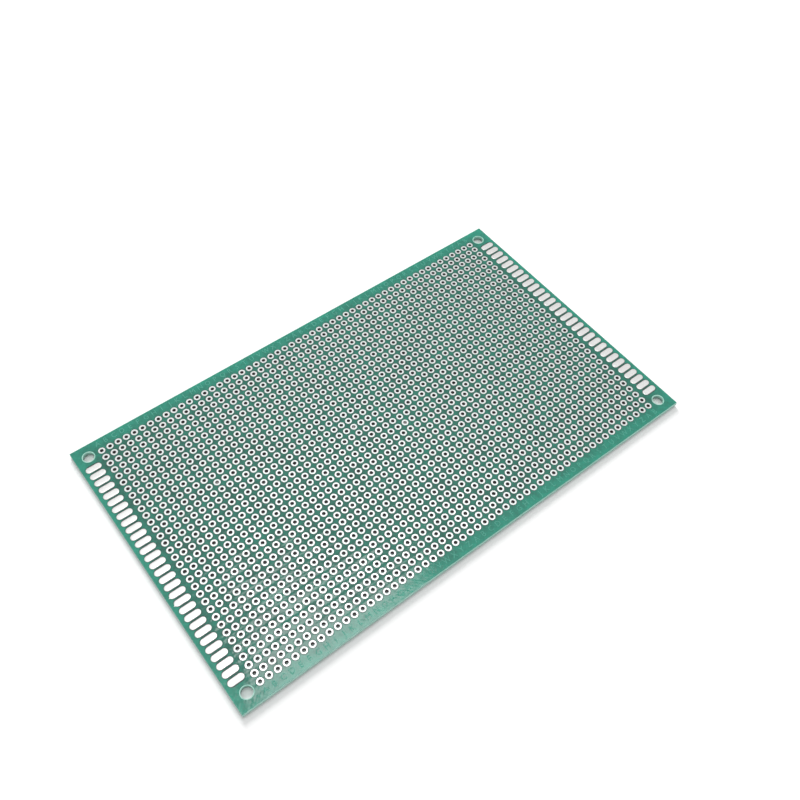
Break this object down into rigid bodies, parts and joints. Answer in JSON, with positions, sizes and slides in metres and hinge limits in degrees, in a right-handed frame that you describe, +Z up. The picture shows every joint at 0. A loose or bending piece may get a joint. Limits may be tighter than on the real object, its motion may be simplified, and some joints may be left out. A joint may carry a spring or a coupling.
{
  "type": "prototype circuit board",
  "caption": "Flat green single-sided prototype circuit board with a grid of drilled ring pads, finger pads at both short ends and a mounting hole in each corner.",
  "frame": {"origin": "centre of the resting face, the plain side without copper", "axes": "+X along the long side, +Y across it towards the far lettered edge, +Z up out of the copper side"},
  "size_m": [0.15, 0.09, 0.0016],
  "materials": {
    "green_mask": "gloss",
    "bare_laminate": "matte",
    "tinned_copper": "satin",
    "white_legend": "matte"
  },
  "bodies": {
    "root": {"board": "green_mask", "far_ring_pads": "tinned_copper", "near_ring_pads": "tinned_copper", "left_finger_pads": "tinned_copper", "right_finger_pads": "tinned_copper"}
  },
  "joints": []
}
